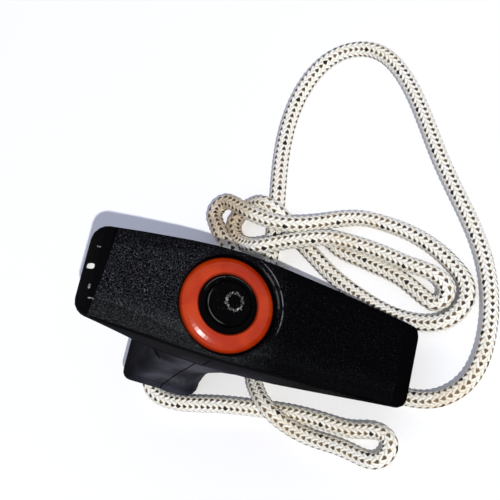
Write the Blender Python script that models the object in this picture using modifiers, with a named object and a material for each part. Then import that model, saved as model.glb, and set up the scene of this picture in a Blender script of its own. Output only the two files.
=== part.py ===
"""Recoil starter handle: an asymmetric T-grip with a damped rope anchor, and its starter rope.

The grip is drawn upright, in its own frame: +Z out of the face along the anchor's axis, +X along the long
wing, the face at Z = 0. An empty then leans it over as it lies, on the edge of its stem and the tip of its
long wing. The free rope is drawn where it lies, on the surface Z = 0.
"""
import bpy
import bmesh
import numpy as np
from math import cos, pi, radians, sin
from mathutils import Vector

for ob in list(bpy.data.objects):
    bpy.data.objects.remove(ob, do_unlink=True)

MM = 0.001
LEAN = radians(42)                       # the grip's axis from upright
HUB = Vector((5.59, 0, 54.3)) * MM      # centre of the face above the surface

# grip, in millimetres
SHORT, LONG = 40.8, 60.5                 # wing lengths from the anchor's axis
CROWN, FACE_DROP = 0.4, 6.4              # the face at the anchor, and how far it falls away at each wing's end
MID_HALF = 15.8                          # half depth at the anchor
SHORT_HALF, LONG_HALF = 12.9, 12.2       # and at the wings' ends
UNDER, LONG_FOOT, SHORT_FOOT = -19.5, -13.2, -12.5   # the underside by the stem and at the wings' ends
STEM_LEN = 63.0                          # below the face
STEM = [  # half of the section up the stem: height, width to the short wing, to the long wing, half depth, corner
    (-63, 12.7, 11.7, 14.5, 2.6), (-61.5, 12.7, 11.7, 14.5, 2.6), (-60.7, 12.1, 11.5, 13.8, 2.6),
    (-59.4, 11.8, 11.3, 13.5, 2.8), (-56, 11.4, 10.9, 13.4, 3.3), (-51, 11, 10.4, 13.2, 3.8),
    (-46, 10.8, 10.1, 13.1, 4.4), (-41, 10.7, 10, 13.1, 4.8), (-36, 10.9, 10.1, 13.1, 4.8), (-33, 11.3, 10.4, 13.2, 4.8),
    (-30, 11.9, 11.3, 13.3, 4.6), (-27.5, 12.7, 12.6, 13.3, 4.3), (-25.5, 13.7, 14.4, 13.3, 4), (-23.5, 15.2, 17.2, 13.4, 3.6),
    (-21.8, 17.5, 20.5, 13.4, 3.2), (-20.4, 19.8, 24, 13.4, 3), (-19.4, 21.6, 26.7, 13.4, 3), (-18.4, 23.9, 30, 13.4, 3),
    (-17.4, 26.4, 32, 13.4, 3), (-16.6, 28.4, 32, 13.4, 3), (-14.5, 28.4, 32, 13.4, 3)]
DISH_R, SEAT_R = 15.3, 14.05             # funnel round the bezel, and the bezel's seat
POCKET_R, POCKET_FLOOR = 10.0, -20.5     # room for the anchor's hub
CHAMBER_R, CHAMBER_FLOOR = 7.6, -41.0    # and for its damper
GUIDE_R, MOUTH_R = 4.4, 6.4
SHORT_R, LONG_R = 3.8, 2.6               # rounding of the wings' ends
FOOT_R = 0.8                             # and of the lip at the stem's end

# rope
ROPE_D = 4.5
GAP = 0.3
ROUTE = [  # centre line of the free rope in metres, from the mouth of the stem to its cut end
    (-.0367, 0, .0075), (-.0388, 0, .0052), (-.0426, -.0029, .0026), (-.044, -.0084, .0024),
    (-.0414, -.0138, .0024), (-.0354, -.0166, .0024), (-.0275, -.0169, .0024), (-.018, -.0162, .0024),
    (-.0031, -.016, .0024), (.008, -.0163, .0024), (.0204, -.0179, .0024), (.029, -.019, .0024),
    (.0356, -.0186, .0024), (.0398, -.0202, .0024), (.041, -.0236, .0024), (.0389, -.0269, .0024),
    (.0348, -.0274, .0024), (.0296, -.0259, .0024), (.023, -.0243, .0024), (.0156, -.023, .0026),
    (.0092, -.021, .0042), (.0046, -.0187, .0064), (.001, -.016, .0073), (-.003, -.012, .0058),
    (-.0068, -.0066, .0034), (-.009, .002, .0024), (-.0104, .0196, .0024), (-.012, .0456, .0024),
    (-.0154, .0714, .0024), (-.013, .0944, .0024), (-.0038, .1074, .0024), (.0088, .1094, .0024),
    (.023, .0984, .0024), (.0404, .0694, .0024), (.0584, .04, .0024), (.0644, .0164, .0024),
    (.061, -.0006, .0024), (.052, -.007, .0024), (.036, -.0054, .0024), (.008, .011, .0028),
    (-.0102, .0228, .0075), (-.0188, .0296, .0056), (-.0264, .0369, .0064), (-.0312, .043, .0056),
    (-.033, .0472, .0052), (-.0302, .0507, .0059), (-.0246, .0494, .0074), (-.0176, .0459, .0091),
    (-.0096, .0436, .0094), (-.0026, .0434, .0085), (.006, .0464, .0046), (.0146, .049, .0024),
    (.026, .0476, .0024), (.038, .0434, .0024), (.05, .0354, .0024), (.056, .0266, .0024),
    (.0522, .0184, .0024), (.0404, .0164, .0024), (.0243, .0219, .0024), (.0101, .0304, .0024),
    (.0036, .0356, .0025), (-.0026, .0408, .0026), (-.0074, .046, .0049), (-.0134, .05, .0073),
    (-.0194, .051, .0048), (-.0246, .049, .0024), (-.0266, .0442, .0024), (-.0244, .0398, .0024),
    (-.0188, .0368, .0046), (-.013, .0357, .0073), (-.0058, .0374, .0074), (.0014, .0389, .0074),
    (.009, .04, .0069), (.0162, .0393, .0062), (.024, .0377, .0058), (.0318, .0353, .0057), (.039, .0328, .006),
    (.0444, .0313, .0061), (.0488, .0289, .005), (.0499, .0252, .0033), (.047, .0228, .0024),
    (.0426, .0245, .0024), (.0374, .028, .0024), (.0314, .0312, .0024), (.0249, .0335, .0024),
    (.0188, .0356, .0024), (.0136, .0374, .0024)]

parts = bpy.data.collections.new("recoil_starter_handle")
cutters = bpy.data.collections.new("cutters")
for col in (parts, cutters):
    bpy.context.scene.collection.children.link(col)

lean = bpy.data.objects.new("as_it_lies", None)
lean.location = HUB
lean.rotation_euler = (0, LEAN, 0)
parts.objects.link(lean)


def material(name, colour, rough, metal=0.0):
    mat = bpy.data.materials.new(name)
    mat.use_nodes = True
    bsdf = mat.node_tree.nodes["Principled BSDF"]
    bsdf.inputs["Base Color"].default_value = (*colour, 1)
    bsdf.inputs["Roughness"].default_value = rough
    bsdf.inputs["Metallic"].default_value = metal
    return mat


def add(ob, mat):
    """Link a piece as one named part of the handle."""
    parts.objects.link(ob)
    ob.data.materials.append(mat)
    return ob


def solid(name, rings):
    """A closed solid through rings of points in millimetres, capped at both ends."""
    bm = bmesh.new()
    rings = [[bm.verts.new(Vector(p) * MM) for p in ring] for ring in rings]
    n = len(rings[0])
    for first, second in zip(rings, rings[1:]):
        for i in range(n):
            j = (i + 1) % n
            bm.faces.new((first[i], first[j], second[j], second[i]))
    bm.faces.new(rings[0][::-1])
    bm.faces.new(rings[-1])
    bmesh.ops.recalc_face_normals(bm, faces=bm.faces)
    mesh = bpy.data.meshes.new(name)
    bm.to_mesh(mesh)
    bm.free()
    ob = bpy.data.objects.new(name, mesh)
    ob.parent = lean
    return ob


def cutter(ob):
    cutters.objects.link(ob)
    ob.hide_render = True
    ob.display_type = "WIRE"
    return ob


def combine(ob, other, operation):
    mod = ob.modifiers.new(other.name, "BOOLEAN")
    mod.operation = operation
    mod.solver = "EXACT"
    mod.object = other


def turned(name, profile, steps=64):
    """A turned solid about the anchor's axis: its profile (radius, height) runs down the outer side."""
    on_axis = profile[0][0] == 0
    n = len(profile)
    mesh = bpy.data.meshes.new(name)
    mesh.from_pydata([Vector((r, 0, z)) * MM for r, z in profile],
                     [(i, (i + 1) % n) for i in range(n - 1 if on_axis else n)], [])
    ob = bpy.data.objects.new(name, mesh)
    ob.parent = lean
    mod = ob.modifiers.new("turn", "SCREW")
    mod.angle = 2 * pi
    mod.steps = mod.render_steps = steps
    mod.axis = "Z"
    mod.use_merge_vertices = True
    mod.merge_threshold = 0.00002
    mod.use_smooth_shade = True
    return ob


def wing(x):
    """How far along its wing a place is, from 0 at the anchor's axis to 1 at the end."""
    return abs(x) / (LONG if x > 0 else SHORT)


def half_depth(x):
    return MID_HALF - (MID_HALF - (LONG_HALF if x > 0 else SHORT_HALF)) * wing(x) ** 1.5


def draw(x):
    """How far the bar's sides draw in towards the underside."""
    return 3.4 + (2.2 * wing(x) if x < 0 else 0)


def bar_section(x, inset=0.0):
    """The bar cut across at x: arched face, close upper rim, sides drawn in widely to the underside."""
    t = wing(x)
    half = half_depth(x) - inset
    top = CROWN - FACE_DROP * t ** 2 - inset * .8
    rise = (max(0, t - .35) / .65) ** (1 if x > 0 else 1.25)
    foot = UNDER + ((LONG_FOOT if x > 0 else SHORT_FOOT) - UNDER) * rise + inset * .8
    rim = 1.2 + 1.2 * min(1, abs(x) / 20) ** 2             # rounding of the rim, tighter beside the funnel
    rim_z, low = min(rim, (top - foot) * .22), min(7.5, (top - foot) * .62)
    side = [(half - rim * (1 - sin(a)), top - rim_z * (1 - cos(a))) for a in (radians(d) for d in (0, 22, 45, 68, 90))]
    side += [(half - draw(x) * (1 - cos(a)), foot + low * (1 - sin(a))) for a in (radians(d) for d in (8, 28, 48, 68, 86))]
    return [(x, y, z) for y, z in side] + [(x, -y, z) for y, z in side[::-1]]


def wing_end(r):
    """Inset and distance in from the end, along a rounding of radius r."""
    return [(r * (1 - sin(a)), r * (1 - cos(a))) for a in (radians(d) for d in (0, 25, 50, 72, 90))]


def make_bar():
    left = [bar_section(-SHORT + along, inset) for inset, along in wing_end(SHORT_R)]
    middle = [bar_section(x) for x in (-28, -21, -14, -7, 0, 7, 14, 22, 31, 40, 49)]
    right = [bar_section(LONG - along, inset) for inset, along in wing_end(LONG_R)[::-1]]
    return solid("grip_body", left + middle + right)


def stem_section(z, inset=0.0):
    """The stem cut across at z: waisted, flared into the wings by a finger fillet each side."""
    heights = [row[0] for row in STEM]
    short, long, half, r = (float(np.interp(z, heights, [row[k] for row in STEM])) for k in (1, 2, 3, 4))
    x0, x1, half = inset - short, long - inset, half - inset
    turn = [(cos(a), sin(a)) for a in (radians(d) for d in (0, 22.5, 45, 67.5, 90))]
    wide = r + 1.6                                         # the corner on the long wing's side
    side = [(x1 - wide * (1 - c), half - wide * (1 - s)) for c, s in turn]
    side += [(x1 - wide + (x0 - x1 + r + wide) * k, half) for k in (.25, .5, .75)]
    side += [(x0 + r * (1 - s), half - r * (1 - c)) for c, s in turn]
    join = min(1, max(0, (z + 30) / 10))                   # near the bar the sides narrow as its underside does
    side = [(x, y * (1 - join * (1 - (half_depth(x) - .8 * draw(x)) / (half_depth(0) - .8 * draw(0))))) for x, y in side]
    return [(x, y, z) for x, y in side] + [(x, -y, z) for x, y in side[::-1]]


def make_stem():
    foot = [(-STEM_LEN + FOOT_R * (1 - cos(a)), FOOT_R * (1 - sin(a))) for a in (radians(d) for d in (0, 30, 60, 90))]
    rings = [stem_section(z, inset) for z, inset in foot]
    rings += [stem_section(row[0]) for row in STEM[1:]]
    return solid("stem", rings)


def make_grip():
    """One moulding: bar and stem, a funnel and seat for the bezel, a damper chamber and a rope guide."""
    body = add(make_bar(), black)
    combine(body, cutter(make_stem()), "UNION")
    low = -STEM_LEN
    bore = turned("bore", [(0, 4), (DISH_R + .3, 4), (DISH_R, CROWN), (SEAT_R + .3, -1.7), (SEAT_R, -2.1),
                           (SEAT_R, -4.6), (POCKET_R, -4.6), (POCKET_R, POCKET_FLOOR),
                           (CHAMBER_R, POCKET_FLOOR), (CHAMBER_R, CHAMBER_FLOOR),
                           (GUIDE_R, CHAMBER_FLOOR), (GUIDE_R, low + 2.8), (GUIDE_R + .6, low + 1.2),
                           (MOUTH_R, low), (MOUTH_R + .6, low - 2), (0, low - 2)])
    combine(body, cutter(bore), "DIFFERENCE")
    return body


def make_bezel():
    """Domed ring in the funnel, over the anchor's flange."""
    return add(turned("bezel_ring", [(9.1, -.45), (10.2, -.5), (11.3, -.75), (12.3, -1.15), (13.2, -1.7), (13.75, -2.2),
                                     (13.75, -4.3), (8.65, -4.3), (8.65, -.9)]), orange)


def make_anchor():
    """Hub that the bezel holds in: a flange, a pocket for the knot, and a long guide tube for the rope."""
    return add(turned("rope_anchor", [(6.9, -.2), (7.8, -.2), (8.4, -.7), (8.4, -4.6), (9.6, -4.6), (9.6, -6.4),
                                      (8.2, -7), (8.2, -16), (7.6, -16.6), (3.9, -16.6), (3.9, -51.4), (3.5, -52),
                                      (3, -52), (2.6, -51.4), (2.6, -15.6), (4.4, -14.6), (5.9, -12.6),
                                      (5.9, -2.3), (6.65, -2.3), (6.65, -.5)]), hub_black)


def make_cap():
    """Plug pressed into the hub over the knot: a slightly dished disc with a raised rim."""
    return add(turned("anchor_cap", [(0, -.35), (3.2, -.3), (5.3, -.1), (5.8, .3), (6.1, .3), (6.45, -.05),
                                     (6.45, -2), (5.6, -2), (5.6, -2.9), (0, -2.9)], 48), hub_black)


def make_damper():
    """Elastomer sleeve between the anchor's shoulder and the floor of the chamber, with four soft waists."""
    top, foot, waves = -16.9, CHAMBER_FLOOR + GAP, 4
    n = waves * 6
    outer = [(6.8 + .45 * cos(2 * pi * waves * i / n + pi), top + (foot - top) * i / n) for i in range(n + 1)]
    return add(turned("damper_sleeve", outer + [(4.2, foot), (4.2, top)], 40), rubber)


def make_knot():
    """The rope's inner end: its knot in the hub's pocket, and the straight run down to the mouth of the stem."""
    ball = [(5.4 * sin(a) * (1 + .06 * cos(6 * a)), -8 + 4.5 * cos(a)) for a in (pi * i / 12 for i in range(1, 10))]
    r = ROPE_D / 2
    return add(turned("rope_knot", [(0, -3.4)] + ball + [(r, -13.4), (r, -STEM_LEN + .55), (0, -STEM_LEN + .55)], 24),
               cream)


def smooth_route(points, step):
    """A natural cubic spline through the points, sampled about every step metres."""
    p = np.array(points, float)
    n = len(p)
    h = np.linalg.norm(np.diff(p, axis=0), axis=1) ** 0.75
    a, r = np.eye(n), np.zeros((n, 3))
    for i in range(1, n - 1):
        a[i, i - 1:i + 2] = h[i - 1], 2 * (h[i - 1] + h[i]), h[i]
        r[i] = 6 * ((p[i + 1] - p[i]) / h[i] - (p[i] - p[i - 1]) / h[i - 1])
    m = np.linalg.solve(a, r)
    out = []
    for i in range(n - 1):
        count = max(1, round(float(np.linalg.norm(p[i + 1] - p[i])) / step))
        for k in range(count):
            t, s = k / count, 1 - k / count
            out.append(s * p[i] + t * p[i + 1] + ((s ** 3 - s) * m[i] + (t ** 3 - t) * m[i + 1]) * h[i] ** 2 / 6)
    out.append(p[-1])
    out = np.array(out)
    out[:, 2] = np.maximum(out[:, 2], 0.0024)
    return out


def make_rope():
    """The free rope as a plain tube along its route."""
    line = smooth_route(ROUTE, 0.009)
    curve = bpy.data.curves.new("starter_rope", "CURVE")
    curve.dimensions = "3D"
    curve.bevel_depth = ROPE_D / 2 * MM
    curve.bevel_resolution = 2
    curve.use_fill_caps = True
    spline = curve.splines.new("POLY")
    spline.points.add(len(line) - 1)
    for point, co in zip(spline.points, line):
        point.co = (*co, 1)
    return add(bpy.data.objects.new("starter_rope", curve), cream)


black = material("grip_plastic", (.012, .012, .013), .45)
orange = material("bezel_plastic", (.78, .12, .02), .22)
hub_black = material("hub_plastic", (.01, .01, .011), .3)
rubber = material("damper_rubber", (.03, .03, .03), .8)
cream = material("rope_braid", (.72, .68, .56), .85)

make_grip()
make_bezel()
make_anchor()
make_cap()
make_damper()
make_knot()
make_rope()
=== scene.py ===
"""A recoil starter handle lying on its side with its starter rope, dressed for the render.

In order: the camera, the finishes, the rope, the moulded pieces, and the lights and the floor.
"""
from math import cos, pi, radians, sin

import bpy
import numpy as np
from mathutils import Matrix, Vector


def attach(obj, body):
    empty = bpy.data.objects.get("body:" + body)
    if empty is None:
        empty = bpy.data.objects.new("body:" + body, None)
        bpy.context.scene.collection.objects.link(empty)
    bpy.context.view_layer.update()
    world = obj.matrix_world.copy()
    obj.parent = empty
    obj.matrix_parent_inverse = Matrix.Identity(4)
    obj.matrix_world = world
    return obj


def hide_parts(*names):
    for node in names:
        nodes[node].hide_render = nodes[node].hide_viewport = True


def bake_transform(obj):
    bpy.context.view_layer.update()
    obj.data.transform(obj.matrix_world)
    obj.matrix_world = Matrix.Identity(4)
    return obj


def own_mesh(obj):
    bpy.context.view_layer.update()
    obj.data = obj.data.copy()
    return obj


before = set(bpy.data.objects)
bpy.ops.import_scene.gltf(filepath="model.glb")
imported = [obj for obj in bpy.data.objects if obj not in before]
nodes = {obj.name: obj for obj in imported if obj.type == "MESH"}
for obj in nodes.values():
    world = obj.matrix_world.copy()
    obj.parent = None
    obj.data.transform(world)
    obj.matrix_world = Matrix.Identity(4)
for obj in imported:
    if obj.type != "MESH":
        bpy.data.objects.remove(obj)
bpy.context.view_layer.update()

# Sizes of the handle, in metres
HUB = Vector((.00559, 0, .0543))         # centre of the grip's face
LEAN = radians(42)                       # the grip's axis from upright
TO_WORLD = Matrix.Translation(HUB) @ Matrix.Rotation(LEAN, 4, "Y")
LONG_TIP, SHORT_TIP = .0605, .0408       # from the middle of the face to the tips of its wings
BEZEL_IN, BEZEL_OUT = .0087, .01375      # the orange ring's radii
ROUND_EDGE = radians(45)                 # edges that turn less than this are shaded smooth

# Sizes of the rope
ROPE_D = .0045
SLACK_D = .0049                          # across the slack braid of the free rope
TIP_D = .0036                            # across its singed tip
LOWEST = .0024                           # its centre line is nowhere lower than this
CLEAR = .0002                            # its lift, which keeps every stitch out of the floor
ROUTE_STEP, RING_STEP = .001, .0004      # between points of the route, and between rings of the mesh

# The braid, in stitches along the rope and in rows and columns round it
STITCH = .00205                          # length of a stitch
ROWS = 6                                 # rows of gaps, with a column of stitches on each side of a row
GAP_LONG, GAP_WIDE = .42, .60            # half a gap, in stitches along it and in half rows across it
SLANT = .65                              # how far a stitch runs on along the rope over its column

ROUTE = [  # centre line of the free rope, from the mouth of the stem to its cut end
    (-.0367, 0, .0075), (-.0388, 0, .0052), (-.0426, -.0029, .0026), (-.044, -.0084, .0024),
    (-.0414, -.0138, .0024), (-.0354, -.0166, .0024), (-.0275, -.0169, .0024), (-.018, -.0162, .0024),
    (-.0031, -.016, .0024), (.008, -.0163, .0024), (.0204, -.0179, .0024), (.029, -.019, .0024),
    (.0356, -.0186, .0024), (.0398, -.0202, .0024), (.041, -.0236, .0024), (.0389, -.0269, .0024),
    (.0348, -.0274, .0024), (.0296, -.0259, .0024), (.023, -.0243, .0024), (.0156, -.023, .0026),
    (.0092, -.021, .0042), (.0046, -.0187, .0064), (.001, -.016, .0073), (-.003, -.012, .0058),
    (-.0068, -.0066, .0034), (-.009, .002, .0024), (-.0104, .0196, .0024), (-.012, .0456, .0024),
    (-.0154, .0714, .0024), (-.013, .0944, .0024), (-.0038, .1074, .0024), (.0088, .1094, .0024),
    (.023, .0984, .0024), (.0404, .0694, .0024), (.0584, .04, .0024), (.0644, .0164, .0024),
    (.061, -.0006, .0024), (.052, -.007, .0024), (.036, -.0054, .0024), (.008, .011, .0028),
    (-.0102, .0228, .0075), (-.0188, .0296, .0056), (-.0264, .0369, .0064), (-.0312, .043, .0056),
    (-.033, .0472, .0052), (-.0302, .0507, .0059), (-.0246, .0494, .0074), (-.0176, .0459, .0091),
    (-.0096, .0436, .0094), (-.0026, .0434, .0085), (.006, .0464, .0046), (.0146, .049, .0024),
    (.026, .0476, .0024), (.038, .0434, .0024), (.05, .0354, .0024), (.056, .0266, .0024),
    (.0522, .0184, .0024), (.0404, .0164, .0024), (.0243, .0219, .0024), (.0101, .0304, .0024),
    (.0036, .0356, .0025), (-.0026, .0408, .0026), (-.0074, .046, .0049), (-.0134, .05, .0073),
    (-.0194, .051, .0048), (-.0246, .049, .0024), (-.0266, .0442, .0024), (-.0244, .0398, .0024),
    (-.0188, .0368, .0046), (-.013, .0357, .0073), (-.0058, .0374, .0074), (.0014, .0389, .0074),
    (.009, .04, .0069), (.0162, .0393, .0062), (.024, .0377, .0058), (.0318, .0353, .0057),
    (.039, .0328, .006), (.0444, .0313, .0061), (.0488, .0289, .005), (.0499, .0252, .0033),
    (.047, .0228, .0024), (.0426, .0245, .0024), (.0374, .028, .0024), (.0314, .0312, .0024),
    (.0249, .0335, .0024), (.0188, .0356, .0024), (.0136, .0374, .0024)]
TUCKED_TIP = [(.0096, .0396, .0024), (.0064, .0414, .0024)]      # pressed under the loop above it

# The camera

camera_data = bpy.data.cameras.new("camera")
camera_data.lens = 108
camera_data.sensor_width = 36
camera = bpy.data.objects.new("camera", camera_data)
camera.location = (.1941, -.1188, .4092)
camera.rotation_euler = (radians(24.441), radians(22.787), radians(13.545))
bpy.context.scene.collection.objects.link(camera)
bpy.context.scene.camera = camera


# The finishes

class Number:
    """A number that varies over a surface. Arithmetic on it adds Math nodes to its finish."""

    def __init__(self, finish, socket):
        self.finish = finish
        self.socket = socket

    def maths(self, operation, *terms):
        node = self.finish.node("ShaderNodeMath", {"operation": operation}, dict(enumerate(terms)))
        return Number(self.finish, node.outputs[0])

    def __add__(self, other):
        return self.maths("ADD", self, other)

    def __sub__(self, other):
        return self.maths("SUBTRACT", self, other)

    def __rsub__(self, other):
        return self.maths("SUBTRACT", other, self)

    def __mul__(self, other):
        return self.maths("MULTIPLY", self, other)

    def __truediv__(self, other):
        return self.maths("DIVIDE", self, other)

    def __pow__(self, other):
        return self.maths("POWER", self, other)

    def __mod__(self, other):
        return self.maths("FLOORED_MODULO", self, other)

    def __abs__(self):
        return self.maths("ABSOLUTE", self)

    def floor(self):
        return self.maths("FLOOR", self)

    def less(self, other):
        """1 where this is less than the other, else 0."""
        return self.maths("LESS_THAN", self, other)

    def least(self, other):
        return self.maths("MINIMUM", self, other)

    def most(self, other):
        return self.maths("MAXIMUM", self, other)

    def ramp(self, low, high):
        """0 below low, 1 above high, smooth between."""
        node = self.finish.node("ShaderNodeMapRange", {"interpolation_type": "SMOOTHSTEP"},
                                {0: self, 1: low, 2: high})
        return Number(self.finish, node.outputs[0])

    __radd__ = __add__
    __rmul__ = __mul__


class Finish:
    """One material, built on its Principled shader."""

    def __init__(self, name, colour, roughness, **fixed):
        self.material = bpy.data.materials.new(name)
        self.material.use_nodes = True
        self.nodes = self.material.node_tree.nodes
        self.links = self.material.node_tree.links
        self.shader = self.nodes["Principled BSDF"]
        self.shader.inputs["Base Color"].default_value = (*colour, 1)
        self.shader.inputs["Roughness"].default_value = roughness
        for socket, value in fixed.items():
            name_in_shader = socket.replace("_", " ").title().replace("Ior", "IOR")
            self.shader.inputs[name_in_shader].default_value = value

    def node(self, kind, settings, sockets):
        """Any node: its type, its settings, and its sockets' values or links by name or number."""
        node = self.nodes.new(kind)
        for name, value in settings.items():
            setattr(node, name, value)
        for key, value in sockets.items():
            self.feed(node.inputs[key], value)
        return node

    def feed(self, socket, value):
        """Link a socket to a varying value, or set it where the value is fixed."""
        if isinstance(value, Number):
            value = value.socket
        if isinstance(value, bpy.types.NodeSocket):
            self.links.new(value, socket)
        elif isinstance(value, tuple) and socket.type == "RGBA" and len(value) == 3:
            socket.default_value = (*value, 1)
        else:
            socket.default_value = value

    def mix(self, factor, first, second):
        """The first colour where the factor is 0, the second where it is 1."""
        node = self.node("ShaderNodeMix", {"data_type": "RGBA"}, {0: factor, 6: first, 7: second})
        return node.outputs[2]

    def place(self):
        """Object coordinates."""
        return self.node("ShaderNodeTexCoord", {}, {}).outputs["Object"]

    def upright(self):
        """Coordinates of the upright handle: face at 0, +Z out of it, +X along the long wing."""
        node = self.node("ShaderNodeMapping", {"vector_type": "TEXTURE"},
                         {"Vector": self.place(), "Location": HUB, "Rotation": (0, LEAN, 0)})
        return node.outputs[0]

    def split(self, vector):
        node = self.node("ShaderNodeSeparateXYZ", {}, {0: vector})
        return [Number(self, out) for out in node.outputs]

    def join(self, x, y, z=0):
        return self.node("ShaderNodeCombineXYZ", {}, {0: x, 1: y, 2: z}).outputs[0]

    def noise(self, vector, scale, detail=2.0, rough=.5):
        node = self.node("ShaderNodeTexNoise", {},
                         {"Vector": vector, "Scale": scale, "Detail": detail, "Roughness": rough})
        return Number(self, node.outputs["Fac"])

    def speckle(self, vector):
        """A random number for each whole value of the vector."""
        node = self.node("ShaderNodeTexWhiteNoise", {"noise_dimensions": "2D"}, {"Vector": vector})
        return Number(self, node.outputs["Value"])

    def bump(self, height, distance, strength=1.0, under=None):
        """A normal for a relief, over another one where that is given."""
        sockets = {"Height": height, "Distance": distance, "Strength": strength}
        if under is not None:
            sockets["Normal"] = under
        return self.node("ShaderNodeBump", {}, sockets).outputs[0]

    def finish(self, **sockets):
        """Feed the shader's sockets and hand over the material."""
        for name, value in sockets.items():
            self.feed(self.shader.inputs[name.replace("_", " ").title()], value)
        return self.material


def rope_finish():
    """White and cream stitches in chevrons, with rows of gaps painted in brown shade, dark tracer
    marks, and painted brown shade on the pile's left bend.
    """
    f = Finish("braided_rope", (.72, .68, .56), .8, specular_ior_level=.3)
    around, along = f.split(f.node("ShaderNodeUVMap", {"uv_map": "braid"}, {}).outputs[0])[:2]
    x, y = f.split(f.place())[:2]

    # where a point is in the braid
    u = around * ROWS
    row = (u + .5).floor()
    w = abs(u - row) * 2                                   # 0 at a row of gaps, 1 half way to the next
    column = (u * 2).floor()
    turn = row % ROWS
    p = along + .5 * (row % 2) + SLANT * w
    stitch = p.floor()
    q = p - stitch                                         # 0 to 1 along a stitch
    level = along + .5 * (row % 2) + .3 * w + .5
    off = abs(level % 1 - .5)                              # along the rope, from the middle of a gap

    # the marks of the braid
    hole = 1 - (off / GAP_LONG + w / GAP_WIDE).ramp(.6, 1.15)
    seam = 1 - (.5 - abs(q - .5)).ramp(.0, .12)            # where one stitch tucks under the next
    crown = 1 - abs(2 * q - 1) ** 2.5
    tracer = ((level.floor() + 3 * turn) % 8).less(.5) * (turn % 2).less(.5)
    tracer = tracer * (1 - (off / (1.3 * GAP_LONG) + w / (1.3 * GAP_WIDE)).ramp(.8, 1.0))
    fibres = f.noise(f.join(q * 1.6 + stitch * 3.1, w * 9, column), 1, 1)

    # the wear of the cloth, and the painted shade on the pile's left bend
    shade = f.speckle(f.join(column, stitch))
    depth = f.speckle(f.join(turn, level.floor()))
    patches = f.noise(f.place(), 26, 2)
    from_bend = ((x + .031) ** 2 + (y - .046) ** 2) ** .5  # the pile's outer left bend, painted brown as shade
    painted_bend_shade = 1 - from_bend.ramp(.006, .017)

    cream = f.mix(shade, (.95, .91, .78), (.98, .97, .92))
    tan = f.mix(shade, (.72, .60, .42), (.90, .83, .68))
    cloth = f.mix((patches + .25 * shade + .3 * painted_bend_shade).ramp(.70, .92), cream, tan)
    # painted shade: the pile's left bend turned brown
    cloth = f.mix(painted_bend_shade * (.25 + .5 * shade), cloth, (.36, .25, .16))
    cloth = f.mix(fibres.ramp(.5, .8) * .14 + seam * .42, cloth, (.44, .33, .19))
    # painted shade in the braid's gaps: near black brown, paler at random and darker on the left bend
    painted_pit_shade = (patches + .4 * depth - .3 * painted_bend_shade).ramp(.5, .95)
    pits = f.mix(painted_pit_shade, (.060, .034, .018), (.24, .16, .08))
    cloth = f.mix(hole, cloth, pits)
    return f.finish(base_color=f.mix(tracer, cloth, (.014, .011, .010)),
                    normal=f.bump(.5 * crown + .12 * fibres - .8 * hole, .0005, 1.0))


def arc(f, x, y, radius, width, towards, reach):
    """A painted highlight along a thin broken line round the face's middle: 1 on it, within reach of
    one direction.
    """
    r = (x * x + y * y) ** .5
    lean = (x * cos(towards) + y * sin(towards)) / r
    broken = f.noise(f.place(), 420, 2).ramp(.30, .50)
    line = 1 - abs(r - radius).ramp(width * .4, width)
    return line * lean.ramp(cos(reach), cos(reach * .6)) * broken


def fleck(x, y, at, size):
    """1 inside a small round-ended mark on the face."""
    return 1 - (abs((x - at[0]) / size[0]) ** 3 + abs((y - at[1]) / size[1]) ** 3).ramp(.6, 1.3)


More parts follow.
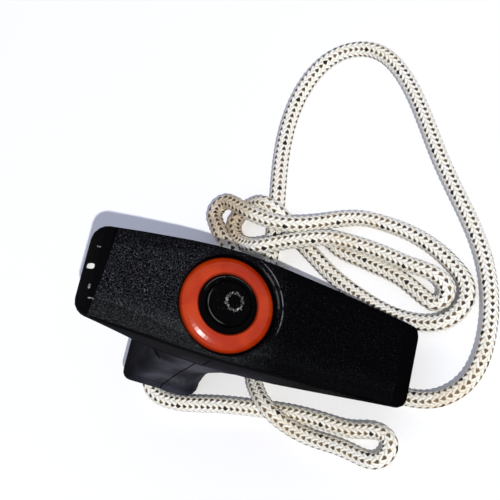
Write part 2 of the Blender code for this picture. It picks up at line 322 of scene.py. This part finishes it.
def grip_finish():
    """Black moulding: a grained face with glossy borders, painted light on the short wing, painted
    sheen on the sides and the stem, painted glints and painted highlight lines.
    """
    f = Finish("grip_moulding", (.003, .003, .0035), .42, specular_ior_level=0, coat_roughness=.14)
    x, y, z = f.split(f.upright())
    grain = f.noise(f.place(), 2300, 2, .6)
    coarse = f.noise(f.place(), 900, 2)
    rub = f.noise(f.place(), 60, 3)

    # the grained field on the face, which stops short of the sides and the tips
    far = x.most(0) / LONG_TIP + (0 - x).most(0) / SHORT_TIP       # 0 at the middle, 1 at a tip
    top = .0004 - .0064 * far * far                                # height of the face
    half = .0158 - .0036 * far ** 1.5                              # half its width
    on_long = half - .0032 - abs(y)
    on_short = .0136 + .147 * x - abs(y)
    sides = on_long.most(x.less(0)).least(on_short.most(0 - x.less(0) + 1))
    ends = (x + .0357 - .079 * y).least(.0552 - x)
    face = (z - top + .0016).ramp(-.0005, .0004)
    field = sides.least(ends).ramp(-.0003, .0003) * face

    # painted light and painted sheen, and the parting line
    lit = .10 + .90 * (rub * .006 - x).ramp(-.016, .006)           # painted light: the short wing's face is greyer, where it turns towards the lamp
    # painted glints in the grain of the field, brighter on the short wing
    painted_glints = field * grain.ramp(.60, .72) * coarse.ramp(.42, .56) * lit
    edge = (0 - y).ramp(.004, .0130) * field * lit                 # painted light: paler towards the near side, where the field turns to the lamp
    flank = (top - .0030 - z).ramp(0, .0030)                       # sides, underside and stem
    low = (-.006 - z).ramp(0, .014) * (.024 - x).ramp(0, .014)     # the stem's half with painted sheen and a glossier coat
    low = low * (x + .0070 + .01 * (rub - .5)).ramp(-.004, .004)
    parting = (1 - abs(x).ramp(.00010, .00030)) * (-.004 - z).ramp(0, .002)

    # painted glints on the short wing's border, and a painted highlight on the rim of the funnel
    small = fleck(x, y, (-.0386, .0064), (.0005, .0003)) + fleck(x, y, (-.0384, -.0055), (.0003, .0007))
    small = (small + fleck(x, y, (-.0372, -.0088), (.0008, .0002))) * coarse.ramp(.40, .60) * .4
    # painted glints: pale flecks on the short wing's glossy end
    painted_end_glints = (small + fleck(x, y, (-.0393, .0004), (.0009, .0008))) * (z + .012).ramp(-.001, .001)
    painted_funnel_highlight = arc(f, x, y, .0160, .00022, .45, .8) + .5 * arc(f, x, y, .0149, .00020, .6, .6)
    painted_funnel_highlight = painted_funnel_highlight * face

    # painted sheen: the sides, underside and stem paler and bluer
    black = f.mix(flank * (.5 + .5 * rub), (.0010, .0010, .0014), (.0065, .0065, .0085))
    # painted light: the field's grain greyer on the short wing
    black = f.mix(field * grain.ramp(.40, .60) * lit, black, (.020, .021, .025))
    # painted light on the near side of the field
    black = f.mix(edge * (.3 + .7 * grain.ramp(.40, .6)) * .6, black, (.050, .053, .052))
    # painted sheen on the stem's half, broken by the parting line
    black = f.mix(low * (1 - parting) * (.35 + .65 * rub.ramp(.35, .65)), black, (.036, .037, .053))
    black = f.mix(painted_glints, black, (.11, .113, .115))
    # painted highlight on the funnel's rim
    black = f.mix(painted_funnel_highlight * .7, black, (.20, .21, .21))
    sheen = .018 + .03 * flank + .14 * low * rub.ramp(.35, .65)
    sheen = sheen * (1 - field) * (1 - parting) + .03 * (-.0352 - x).ramp(0, .001)
    relief = field * (grain * .9 + coarse * .5 + .7)
    return f.finish(base_color=f.mix(painted_end_glints, black, (.80, .78, .72)),
                    roughness=.26 + .22 * field + .10 * rub + .1 * coarse,
                    coat_weight=sheen,
                    normal=f.bump(relief, .00022, .8, f.bump(parting * -1 - .12 * coarse, .00030, .8)))


def bezel_finish():
    """Glossy orange moulding, rubbed here and there, darker at its inner and outer edges."""
    f = Finish("bezel_gloss", (.42, .03, .003), .2,
               specular_ior_level=.13, coat_weight=.25, coat_roughness=.23)
    x, y = f.split(f.upright())[:2]
    r = (x * x + y * y) ** .5
    rub = f.noise(f.place(), 140, 3)
    fine = f.noise(f.place(), 700, 3)
    edge = r.ramp(BEZEL_OUT - .00065, BEZEL_OUT) + (1 - r.ramp(BEZEL_IN, BEZEL_IN + .0007))
    colour = f.mix(rub.ramp(.35, .7), (.46, .036, .002), (.36, .018, .001))
    # darker at the inner and outer edges
    colour = f.mix(edge.least(1) * .65, colour, (.10, .010, .003))
    return f.finish(base_color=colour, roughness=.19 + .06 * rub + .05 * fine,
                    normal=f.bump(fine, .00007, .35))


def hub_finish():
    """Black moulding of the anchor and its cap, speckled with dust, with painted highlights on its
    rims.
    """
    f = Finish("hub_moulding", (.004, .004, .0045), .3,
               specular_ior_level=0, coat_weight=.03, coat_roughness=.12)
    x, y = f.split(f.upright())[:2]
    dust = f.noise(f.place(), 900, 3)
    specks = dust.ramp(.64, .76) * f.noise(f.place(), 160, 2).ramp(.42, .65)
    # painted highlights on the rims of the cap and the anchor
    painted_hub_highlights = arc(f, x, y, .0061, .00018, -2.6, 1.1) + arc(f, x, y, .0079, .00018, 1.8, 1.2)
    black = f.mix(specks * .4, (.0012, .0012, .0015), (.10, .10, .09))
    return f.finish(base_color=f.mix((painted_hub_highlights * .6).least(1), black, (.13, .13, .12)),
                    roughness=.24 + .22 * dust, normal=f.bump(dust, .00005, .5))


def gate_finish():
    """Torn plastic where the moulding was broken from its runner, its raised bumps painted pale as
    glints.
    """
    f = Finish("gate_stub", (.004, .004, .0045), .35, specular_ior_level=.3)
    torn_and_glints = f.noise(f.place(), 1500, 3, .7)
    # painted glints: the raised bumps pale
    return f.finish(base_color=f.mix(torn_and_glints.ramp(.50, .62), (.004, .004, .005), (.42, .41, .39)),
                    roughness=.2 + .3 * torn_and_glints, normal=f.bump(torn_and_glints, .0003, 1.0))


# The rope

def smooth_route(points, step):
    """A natural cubic spline through the points, sampled about every step metres."""
    p = np.array(points, float)
    n = len(p)
    h = np.linalg.norm(np.diff(p, axis=0), axis=1) ** 0.75
    a = np.eye(n)
    r = np.zeros((n, 3))
    for i in range(1, n - 1):
        a[i, i - 1:i + 2] = h[i - 1], 2 * (h[i - 1] + h[i]), h[i]
        r[i] = 6 * ((p[i + 1] - p[i]) / h[i] - (p[i] - p[i - 1]) / h[i - 1])
    m = np.linalg.solve(a, r)
    out = []
    for i in range(n - 1):
        count = max(1, round(float(np.linalg.norm(p[i + 1] - p[i])) / step))
        for k in range(count):
            t = k / count
            s = 1 - k / count
            bend = ((s ** 3 - s) * m[i] + (t ** 3 - t) * m[i + 1]) * h[i] ** 2 / 6
            out.append(s * p[i] + t * p[i + 1] + bend)
    out.append(p[-1])
    out = np.array(out)
    out[:, 2] = np.maximum(out[:, 2], LOWEST)
    return out


def even(line, step):
    """The same line with its points an equal step apart, and how far along it each one is."""
    reach = np.concatenate([[0], np.cumsum(np.linalg.norm(np.diff(line, axis=0), axis=1))])
    count = max(4, round(reach[-1] / step))
    at = np.linspace(0, reach[-1], count + 1)
    return np.stack([np.interp(at, reach, line[:, k]) for k in range(3)], axis=1), at


def across(line):
    """Two directions square to a line at each of its points, which don't twist along it."""
    tangent = np.gradient(line, axis=0)
    tangent /= np.linalg.norm(tangent, axis=1)[:, None]
    normal = np.zeros_like(line)
    up = np.array([0, 0, 1.0]) if abs(tangent[0, 2]) < .9 else np.array([0, 1.0, 0])
    normal[0] = up - tangent[0] * (up @ tangent[0])
    normal[0] /= np.linalg.norm(normal[0])
    for i in range(1, len(line)):
        turned = normal[i - 1] - tangent[i] * (normal[i - 1] @ tangent[i])
        normal[i] = turned / np.linalg.norm(turned)
    return normal, np.cross(tangent, normal)


def braided(name, line, at, radius, material):
    """A braided tube along a line: rings that swell at each stitch, and its braid's own UV map."""
    n = len(line)
    sides = 4 * ROWS
    normal, side = across(line)
    j = np.arange(sides)
    angle = 2 * pi * j / sides
    row = (j + 2) // 4
    w = abs(j - 4 * row) / 2                               # as in the finish: 0, half or 1
    phase = at[:, None] / STITCH + .5 * (row % 2)[None, :] + SLANT * w[None, :]
    lift = np.choose((2 * w).astype(int), [-.00005, .00005, -.0001])
    swell = lift + np.where(w < 1, .0001, 0) * np.cos(2 * pi * (phase - .5))
    reach = radius[:, None] + swell
    spokes = (np.cos(angle)[None, :, None] * normal[:, None, :]
              + np.sin(angle)[None, :, None] * side[:, None, :])
    points = (line[:, None, :] + reach[..., None] * spokes).reshape(-1, 3)
    ring = np.arange(n - 1)[:, None] * sides
    k = (j + 1) % sides
    faces = np.stack([ring + j, ring + k, ring + sides + k, ring + sides + j], axis=-1).reshape(-1, 4)
    caps = [tuple(range(sides - 1, -1, -1)), tuple(range((n - 1) * sides, n * sides))]
    mesh = bpy.data.meshes.new(name)
    mesh.from_pydata(points.tolist(), [], faces.tolist() + caps)

    v0 = at[:-1] / STITCH
    v1 = at[1:] / STITCH
    uv = np.empty((n - 1, sides, 4, 2))
    uv[..., 0, 0] = uv[..., 3, 0] = (j / sides)[None, :]
    uv[..., 1, 0] = uv[..., 2, 0] = ((j + 1) / sides)[None, :]
    uv[..., 0, 1] = uv[..., 1, 1] = v0[:, None]
    uv[..., 2, 1] = uv[..., 3, 1] = v1[:, None]
    ends = np.zeros((2 * sides, 2))
    ends[sides:, 1] = v1[-1]
    layer = mesh.uv_layers.new(name="braid")
    layer.data.foreach_set("uv", np.concatenate([uv.reshape(-1, 2), ends]).ravel())
    mesh.polygons.foreach_set("use_smooth", [True] * len(mesh.polygons))
    mesh.materials.append(material)
    ob = bpy.data.objects.new(name, mesh)
    bpy.context.scene.collection.objects.link(ob)
    return ob


def free_rope(material):
    """All of the rope that lies outside the handle."""
    line, at = even(smooth_route(ROUTE + TUCKED_TIP, ROUTE_STEP), RING_STEP)
    line[:, 2] += CLEAR
    radius = np.interp(at, [0, .012, at[-1] - .006, at[-1]],
                       [ROPE_D / 2, SLACK_D / 2, SLACK_D / 2, TIP_D / 2])
    rope = braided("rope_free", line, at, radius, material)
    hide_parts("starter_rope")
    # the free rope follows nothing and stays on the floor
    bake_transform(rope)


def inner_rope(material):
    """The rope's inner end: its knot in the hub's pocket and the run through the stem."""
    knot_z, knot_tall, knot_wide = -.0078, .0047, .0053
    z = np.arange(-.0034, -.0628, -RING_STEP)
    line = np.array([TO_WORLD @ Vector((0, 0, h)) for h in z])
    bulb = np.sqrt(np.clip(1 - ((z - knot_z) / knot_tall) ** 2, 0, 1)) * knot_wide
    bulb = bulb * (1 + .05 * np.cos(z * 2600))
    radius = np.maximum(bulb, np.where(z > knot_z, .0006, ROPE_D / 2))
    knot = braided("rope_inner", line, np.arange(len(z)) * RING_STEP, radius, material)
    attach(knot, "anchor")
    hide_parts("rope_knot")


braid = rope_finish()
free_rope(braid)
inner_rope(braid)


# The moulded pieces

def shade_round(piece):
    """Shade the round stretches of a piece smooth and leave its edges sharp."""
    bpy.ops.object.select_all(action="DESELECT")
    piece.select_set(True)
    bpy.context.view_layer.objects.active = piece
    bpy.ops.object.shade_smooth_by_angle(angle=ROUND_EDGE)


def dress(name, material):
    """Give a CAD node its finish."""
    shade_round(nodes[name])
    mesh = nodes[name].data
    mesh.materials.clear()
    mesh.materials.append(material)


def gate_mark(material):
    """Rough bead left round the injection gate, a little off the middle of the cap."""
    off_middle = Vector((.0015, .0011, -.0003))
    bpy.ops.object.select_all(action="DESELECT")
    bpy.ops.mesh.primitive_torus_add(major_radius=.0024, minor_radius=.00042,
                                     major_segments=96, minor_segments=14)
    ob = bpy.context.object
    ob.name = "gate_mark"
    for v in ob.data.vertices:
        turn = np.arctan2(v.co.y, v.co.x)
        ragged = .05 * sin(9 * turn + 1) + .04 * sin(17 * turn) + .04 * sin(31 * turn + 2)
        v.co.x *= 1 + ragged
        v.co.y *= 1 + ragged
        v.co.z *= 1.1 + .3 * sin(3 * turn + .5) + 3 * ragged
        v.co = TO_WORLD @ (v.co + off_middle)
    ob.data.polygons.foreach_set("use_smooth", [True] * len(ob.data.polygons))
    ob.data.materials.append(material)
    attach(ob, "anchor")


def damper(material):
    """Elastomer sleeve under the anchor's shoulder."""
    top, foot = -.0169, -.0407               # on the grip's axis, under its face
    bore, middle, wave, waists = .0042, .0068, .00045, 4
    steps, sides = 48, 64
    outline = [(middle - wave * cos(2 * pi * waists * i / steps), top + (foot - top) * i / steps)
               for i in range(steps + 1)]
    outline += [(bore, foot), (bore, top)]
    n = len(outline)
    turns = [2 * pi * k / sides for k in range(sides)]
    points = [TO_WORLD @ Vector((r * cos(a), r * sin(a), h)) for a in turns for r, h in outline]
    faces = []
    for k in range(sides):
        here = k * n
        there = (k + 1) % sides * n
        for i in range(n):
            faces.append((here + i, here + (i + 1) % n, there + (i + 1) % n, there + i))
    mesh = bpy.data.meshes.new("damper")
    mesh.from_pydata(points, [], faces)
    mesh.materials.append(material)
    ob = bpy.data.objects.new("damper", mesh)
    bpy.context.scene.collection.objects.link(ob)
    shade_round(ob)
    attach(ob, "grip")
    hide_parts("damper_sleeve")
    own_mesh(ob)


hub = hub_finish()
dress("grip_body", grip_finish())
dress("bezel_ring", bezel_finish())
dress("rope_anchor", hub)
dress("anchor_cap", hub)
gate_mark(gate_finish())
damper(Finish("damper_rubber", (.03, .03, .03), .8).material)


# The lights and the floor

def soft_light(name, place, size, power, colour=(1, 1, 1), aim=(0, 0.02, .02)):
    data = bpy.data.lights.new(name, "AREA")
    data.energy = power
    data.size = size
    data.color = colour
    ob = bpy.data.objects.new(name, data)
    ob.location = place
    ob.rotation_euler = (Vector(place) - Vector(aim)).to_track_quat("Z", "Y").to_euler()
    bpy.context.scene.collection.objects.link(ob)


soft_light("key", (1.98, -1.36, 3.0), .03, 124, (1, .985, .94))
soft_light("fill", (-.7, .1, .9), .8, 1.2)

world = bpy.data.worlds.new("studio")
bpy.context.scene.world = world
world.use_nodes = True
wn = world.node_tree.nodes
wl = world.node_tree.links
ray = wn.new("ShaderNodeLightPath")
seen = wn.new("ShaderNodeMath")
seen.operation = "MAXIMUM"
wl.new(ray.outputs["Is Camera Ray"], seen.inputs[0])
wl.new(ray.outputs["Is Transmission Ray"], seen.inputs[1])
mirrored = wn.new("ShaderNodeMath")
mirrored.operation = "MAXIMUM"
wl.new(seen.outputs[0], mirrored.inputs[0])
wl.new(ray.outputs["Is Glossy Ray"], mirrored.inputs[1])
sky = wn.new("ShaderNodeMix")
sky.data_type = "RGBA"
sky.inputs[6].default_value = (.29, .315, .42, 1)          # what lights the shadows
sky.inputs[7].default_value = (1, 1, 1, 1)                 # what the camera and the glossy pieces see
wl.new(mirrored.outputs[0], sky.inputs[0])
wl.new(sky.outputs[2], wn["Background"].inputs["Color"])

bpy.ops.mesh.primitive_plane_add(size=3, location=(0, 0, 0))
floor = bpy.context.object
floor.name = "floor"
pale = bpy.data.materials.new("pale_floor")
pale.use_nodes = True
pn = pale.node_tree.nodes
pl = pale.node_tree.links
tone = pn.new("ShaderNodeMix")
tone.data_type = "RGBA"
tone.inputs[6].default_value = (.78, .78, .79, 1)          # for light that the floor throws back
tone.inputs[7].default_value = (1, 1, 1, 1)                # for the camera
pl.new(pn.new("ShaderNodeLightPath").outputs["Is Camera Ray"], tone.inputs[0])
pl.new(tone.outputs[2], pn["Principled BSDF"].inputs["Base Color"])
pn["Principled BSDF"].inputs["Roughness"].default_value = .9
pn["Principled BSDF"].inputs["Specular IOR Level"].default_value = 0
floor.data.materials.append(pale)

bpy.context.scene.view_settings.view_transform = "Standard"
